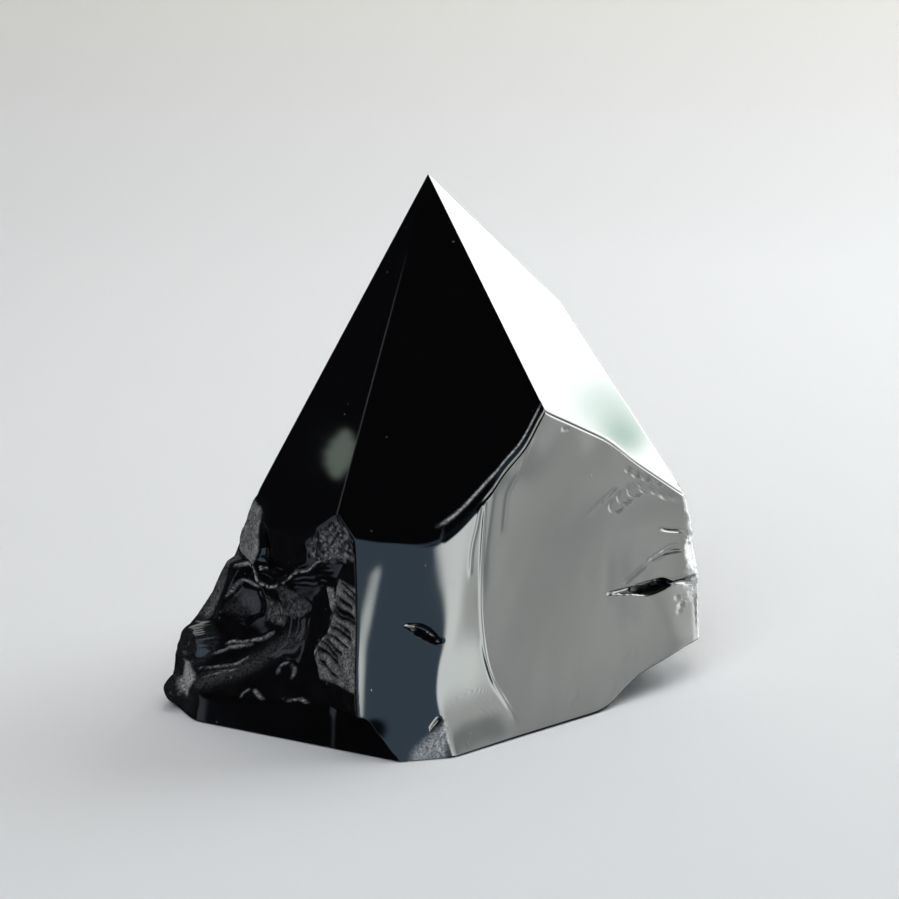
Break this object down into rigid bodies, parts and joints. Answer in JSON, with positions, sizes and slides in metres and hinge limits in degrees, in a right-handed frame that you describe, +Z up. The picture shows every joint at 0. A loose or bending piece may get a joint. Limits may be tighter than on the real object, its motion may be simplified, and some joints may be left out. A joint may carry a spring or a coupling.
{
  "type": "polished obsidian point",
  "caption": "Freestanding point of black volcanic glass: flat polished facets meeting at an apex above a rough, shell-fractured lower half on a flat sawn base",
  "frame": {"origin": "centre of the flat base, at the middle of the bounding box, on the surface the stone stands on", "axes": "+Z up from the base towards the apex, -Y out through the front, on the side of the largest facet, +X to the right as seen from the front"},
  "size_m": [0.0842, 0.0692, 0.0814],
  "materials": {
    "obsidian": "polished facets, glossy conchoidal fracture"
  },
  "bodies": {
    "root": {"obsidian_point": "obsidian"}
  },
  "joints": []
}
